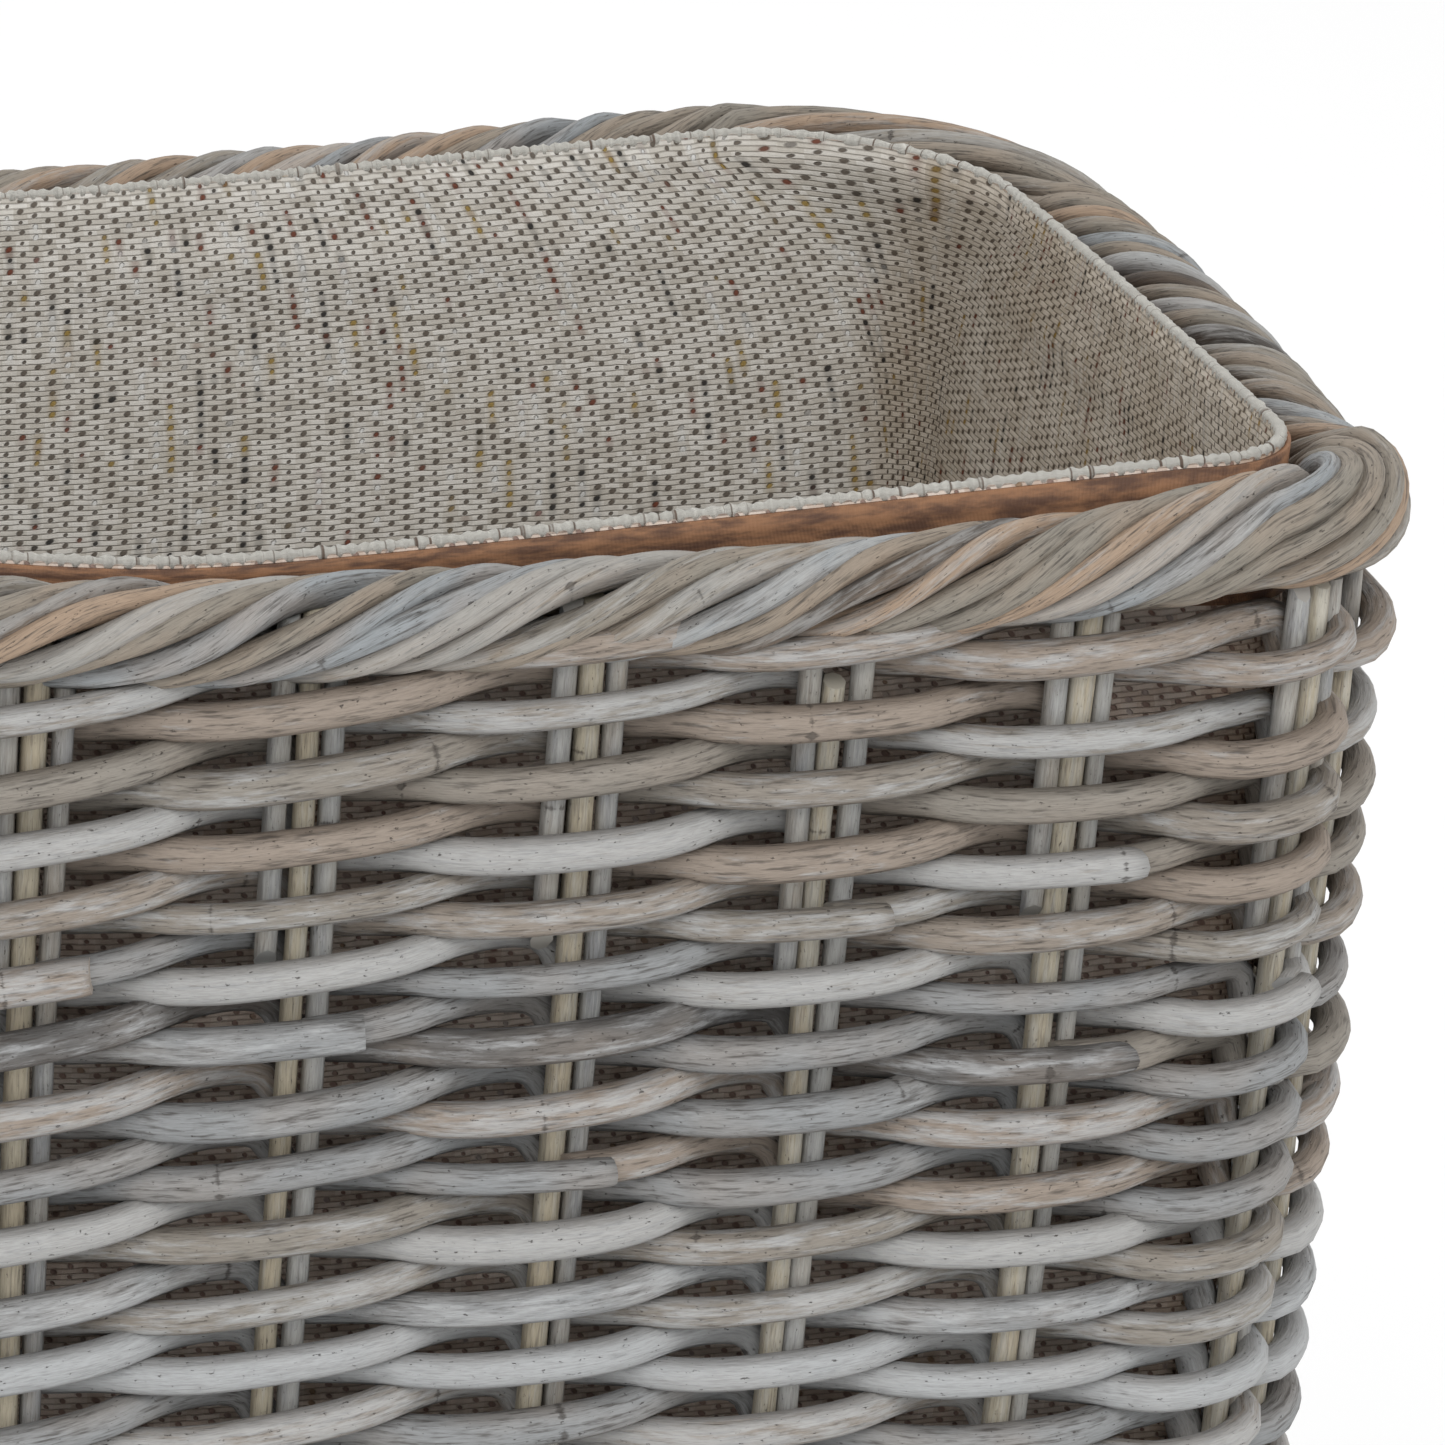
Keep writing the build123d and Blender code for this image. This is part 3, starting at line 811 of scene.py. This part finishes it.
    # Painted shade: the two short walls, past 0.2 m either side of the middle, are darkened to a browner
    # tone, broken up by the broad noise.
    spread = addNode(tree, "SeparateXYZ", {"Vector": addNode(tree, "TexCoord").outputs["Object"]})
    ends = smoothMask(tree, calc(tree, "ABSOLUTE", spread.outputs["X"]), 0.193, 0.207)
    ends = calc(tree, "MULTIPLY", ends, calc(tree, "MULTIPLY_ADD", broad, 0.9, 0.4, clamp=True))
    colour = blendColour(tree, ends, colour, (0.77, 0.70, 0.625, 1), "MULTIPLY")
    fuzz = noiseOf(tree, flat, 3600.0, 2.0, 0.7)
    colour = blendColour(tree, calc(tree, "MULTIPLY", fuzz, 0.4), colour, (0.42, 0.40, 0.38, 1), "MULTIPLY")
    tree.links.new(colour, result.inputs["Color"])
    tree.links.new(calc(tree, "MULTIPLY_ADD", fuzz, 0.05, 0.88), result.inputs["Roughness"])
    height = calc(tree, "SUBTRACT", 1.0, calc(tree, "MULTIPLY", dot, 0.8))
    height = calc(tree, "SUBTRACT", height, calc(tree, "MULTIPLY", rib, 0.4))
    tree.links.new(calc(tree, "MULTIPLY_ADD", fuzz, 0.3, height), result.inputs["Height"])
    return tree


# Smooth ribbon or thread: two tones in streaks along its length, and fine ribs across it.
def makeRibbonSkin():
    tree, given, result = newGroup("ribbonSkin", [
        ("Light", "Color", (0.3, 0.14, 0.06, 1)), ("Shade", "Color", (0.15, 0.07, 0.03, 1)),
        ("Mark", "Color", (0.1, 0.05, 0.03, 1)), ("Marks", "Float", 0.0), ("Rib", "Float", 900.0),
    ], [("Color", "Color"), ("Roughness", "Float"), ("Height", "Float")])
    place = addNode(tree, "SeparateXYZ", {"Vector": addNode(tree, "UVMap", uv_map="length").outputs["UV"]})
    along = calc(tree, "MULTIPLY", place.outputs["X"], 0.25)
    streaky = addNode(tree, "CombineXYZ", {"X": along, "Y": place.outputs["Y"]}).outputs["Vector"]
    colour = blendColour(tree, smoothMask(tree, noiseOf(tree, streaky, 420.0, 4.0, 0.6), 0.35, 0.65),
                         given.outputs["Light"], given.outputs["Shade"])
    spot = addNode(tree, "CombineXYZ", {"X": calc(tree, "MULTIPLY", place.outputs["X"], 520.0), "Y": 4.0})
    mark = smoothMask(tree, noiseOf(tree, spot.outputs["Vector"], 1.0, 2.0, 0.7), 0.56, 0.64)
    markShare = calc(tree, "MULTIPLY", mark, given.outputs["Marks"])
    colour = blendColour(tree, markShare, colour, given.outputs["Mark"])
    tree.links.new(colour, result.inputs["Color"])
    rib = calc(tree, "SINE", calc(tree, "MULTIPLY", place.outputs["X"], given.outputs["Rib"]))
    tree.links.new(calc(tree, "MULTIPLY_ADD", rib, 0.04, 0.68), result.inputs["Roughness"])
    height = calc(tree, "MULTIPLY_ADD", rib, 0.3, noiseOf(tree, streaky, 2200.0))
    tree.links.new(height, result.inputs["Height"])
    return tree


tweedSkin = makeTweedSkin()
ribbonSkin = makeRibbonSkin()
linerTweed = finishMaterial("linerTweed", tweedSkin, {
    "Light": (0.80, 0.775, 0.725, 1), "Shade": (0.59, 0.555, 0.495, 1),
    "Dot": (0.10, 0.078, 0.06, 1), "Flecks": 1.0,
}, 0.5 * mm, {"Specular IOR Level": 0.15})
linerOutside = finishMaterial("linerOutside", tweedSkin, {
    "Light": (0.76, 0.66, 0.58, 1), "Shade": (0.60, 0.48, 0.40, 1),
    "Dot": (0.27, 0.18, 0.15, 1), "Flecks": 0.3,
}, 0.5 * mm, {"Specular IOR Level": 0.15})
edgeThread = finishMaterial("edgeThread", ribbonSkin, {
    "Light": (0.86, 0.85, 0.80, 1), "Shade": (0.68, 0.65, 0.58, 1),
    "Mark": (0.12, 0.06, 0.03, 1), "Marks": 0.85, "Rib": 2600.0,
}, 0.3 * mm, {"Specular IOR Level": 0.2})
tapeCloth = finishMaterial("tapeCloth", ribbonSkin, {
    "Light": (0.30, 0.155, 0.082, 1), "Shade": (0.11, 0.058, 0.038, 1), "Rib": 9000.0,
}, 0.12 * mm, {"Specular IOR Level": 0.3})
stitchThread = finishMaterial("stitchThread", ribbonSkin, {
    "Light": (0.40, 0.25, 0.16, 1), "Shade": (0.28, 0.16, 0.10, 1), "Rib": 4000.0,
}, 0.1 * mm, {"Specular IOR Level": 0.3})


# ---- liner
liner = {
    "thick": 2.2 * mm,
    "topBend": 36.0 * mm,
    "lowBend": 18.0 * mm,
    "columns": 380,
    "levels": 84,
    "edgeRadius": 1.15 * mm,
    "nub": 2.85 * mm,
    "tapeThick": 0.9 * mm,
    "tapeDown": 0.8 * mm,  # from the edge down to the tape
    "stitchDown": 7.0 * mm,  # from the tape's top down to the upper line of stitches
    "stitchStep": 3.6 * mm,
    "stitchLength": 2.4 * mm,
    "laneGap": 3.6 * mm,  # between the two lines of stitches
    "threadRadius": 0.3 * mm,
    "lift": (-7.8 * mm, 18.6 * mm, -1.6 * mm, -3.6 * mm, 0.28),  # as rimLift takes them
    "roundBack": 25.0 * mm,
    "waveDepth": 0.8 * mm,
    "creaseDown": 17.0 * mm,  # from the edge down to the long crease
    "creaseWide": 5.0 * mm,
    "creaseDepth": 1.6 * mm,
    "fade": 12.0 * mm,  # depth over which wave and crease fade out towards the edge
}
plainMark = (0.0, 0.0, 0.0, 1.0)
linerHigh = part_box("liner_front")[1][2]
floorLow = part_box("liner_base")[0][2]
setIn = plan["topHalf"][1] - 0.5 * (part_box("liner_back")[1][1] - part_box("liner_front")[0][1])
setIn = setIn + (plan["topHalf"][1] - plan["footHalf"][1]) * (linerHigh / plan["borderHigh"] - 1.0)


def linerTop(s):
    return linerHigh - liner["edgeRadius"] + rimLift(s, *liner["lift"])


# Point on the liner's wall: the plan at a set-in distance, with a bend that widens just under the edge, and
# shallow waves of stiff cloth that fade out at the edge and at the corners.
def linerPoint(s, z, inward):
    share = np.clip((z - floorLow) / (linerHigh - floorLow), 0, 1)
    topBend = liner["topBend"] + liner["roundBack"] * backShare(s)
    bend = liner["lowBend"] + (topBend - liner["lowBend"]) * share ** 14
    wave = np.sin(2 * math.pi * 3 * s / planLength + 1.3) * np.sin(9.0 * z + 0.4)
    creaseAt = linerTop(s) - liner["creaseDown"] + 3 * mm * np.sin(7 * s)
    crease = np.exp(-((creaseAt - z) / liner["creaseWide"]) ** 2)
    soft = liner["waveDepth"] * wave + liner["creaseDepth"] * crease
    soft = soft * np.clip((linerTop(s) - z) / liner["fade"], 0, 1)
    soft = soft * (1 - cornerShare(s) ** 2)
    return planPoint(s, z, -(inward + np.abs(soft)), bend)


def addSheetGrid(name, points, closedAround, uv, material, body):
    rows, columns = points.shape[:2]
    i = np.arange(rows - 1)[:, None]
    j = np.arange(columns if closedAround else columns - 1)[None]
    j2 = (j + 1) % columns
    quads = np.stack([i * columns + j, i * columns + j2, (i + 1) * columns + j2, (i + 1) * columns + j], -1)
    u, v = uv
    u0, u1 = u[j.ravel()], u[j.ravel() + 1]
    around = ((u0, 0), (u1, 0), (u1, 1), (u0, 1))
    corners = [np.stack(np.broadcast_arrays(side[None], v[i + up]), -1) for side, up in around]
    uvs = np.stack(corners, -2).reshape(-1, 2)
    return addMesh(name, points.reshape(-1, 3), quads.reshape(-1, 4), [], material, body, uvs)


def solidify(piece, thickness):
    thick = piece.modifiers.new("clothThickness", "SOLIDIFY")
    thick.thickness = thickness
    thick.offset = 0.0
    if len(piece.data.materials) > 1:
        thick.material_offset = 1


def makeLiner(spec):
    s = np.linspace(0, planLength, spec["columns"], endpoint=False)
    share = np.linspace(0, 1, spec["levels"])
    low = floorLow + spec["thick"]
    z = low + (linerTop(s)[None] - low) * share[:, None]
    grid, _ = linerPoint(s[None] + 0 * z, z, setIn + 0.5 * spec["thick"])
    lengthRatio = np.linalg.norm(np.diff(grid[-1], axis=0), axis=1).sum() / planLength
    around = np.append(s, planLength) * lengthRatio
    upright = low + share * (linerHigh - low)
    wall = addSheetGrid("linerWall", grid, True, (around, upright), linerOutside, "liner")
    wall.data.materials.append(linerTweed)
    solidify(wall, spec["thick"])
    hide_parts("liner_front", "liner_back", "liner_left", "liner_right", "liner_corners")

    edge = TubeBundle(9)
    fineS = np.linspace(0, planLength, 1900, endpoint=False)
    top, normal = linerPoint(fineS, linerTop(fineS), setIn + 0.5 * spec["thick"])
    nubs = np.round(planLength / spec["nub"]) * (fineS + wander(fineS, 1.2 * mm, 20, 90)) / planLength
    nubs = 1 + 0.2 * np.cos(2 * math.pi * nubs) + wander(fineS, 0.2, 60, 300)
    size = spec["edgeRadius"] * nubs
    edge.add(top, normal, size, size, plainMark, closed=True)
    edgePiece = edge.finish("linerEdge", edgeThread, "liner")

    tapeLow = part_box("liner_tape_front")[0][2]
    tapeZ = np.linspace(0, 1, 7)
    bandTop = linerTop(s) - spec["tapeDown"]
    zz = tapeLow + (bandTop[None] - tapeLow) * tapeZ[:, None]
    band, _ = linerPoint(s[None] + 0 * zz, zz, setIn - 0.5 * spec["tapeThick"] - 0.1 * mm)
    tape = addSheetGrid("linerTape", band, True, (around, tapeZ * 0.018), tapeCloth, "liner")
    solidify(tape, spec["tapeThick"])
    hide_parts(*["liner_tape_" + side for side in sideNames])

    stitches = TubeBundle(6)
    step, threadRadius = spec["stitchStep"], spec["threadRadius"]
    for index in range(int(planLength / step)):
        at = index * step + np.linspace(0, spec["stitchLength"], 4)
        lanes = (spec["laneGap"],) if index % 2 else (spec["laneGap"], 0.0)
        for lane in lanes:
            zAt = linerTop(at) - spec["tapeDown"] - spec["stitchDown"] - lane
            path, normal = linerPoint(at, zAt, setIn - spec["tapeThick"] - 0.25 * mm)
            bow = np.array((-0.35, 0.1, 0.1, -0.35)) * mm
            stitches.add(path + normal * bow[:, None], normal, threadRadius, threadRadius, plainMark)
    thread = stitches.finish("tapeStitches", stitchThread, "liner")

    floorZ = floorLow + 0.5 * spec["thick"] + 0.4 * mm
    rim, _ = linerPoint(s, floorZ + 0 * s, setIn + 1.6 * spec["thick"])
    inwards = np.linspace(0.02, 1, 26)[:, None, None]
    disc = rim[None] * np.concatenate([inwards, inwards, 1 + 0 * inwards], -1)
    disc[..., 2] += 0.4 * mm * np.sin(disc[..., 0] * 40) * np.sin(disc[..., 1] * 55)
    floor = makeFloorCloth(disc)
    solidify(floor, spec["thick"])
    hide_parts("liner_base")


# Rings of the floor's outline drawn in towards the middle, closed by one many-sided face.
def makeFloorCloth(disc):
    rings, columns = disc.shape[:2]
    i = np.arange(rings - 1)[:, None]
    j = np.arange(columns)[None]
    j2 = (j + 1) % columns
    quads = np.stack([i * columns + j, (i + 1) * columns + j, (i + 1) * columns + j2, i * columns + j2], -1)
    quads = quads.reshape(-1, 4)
    middle = [list(range(columns))]
    points = disc.reshape(-1, 3)
    flat = points[:, :2]
    uv = np.concatenate([flat[quads].reshape(-1, 2), flat[middle[0]]])
    return addMesh("linerFloor", points, quads, middle, linerTweed, "liner", uv)


makeLiner(liner)
print("liner sewn")
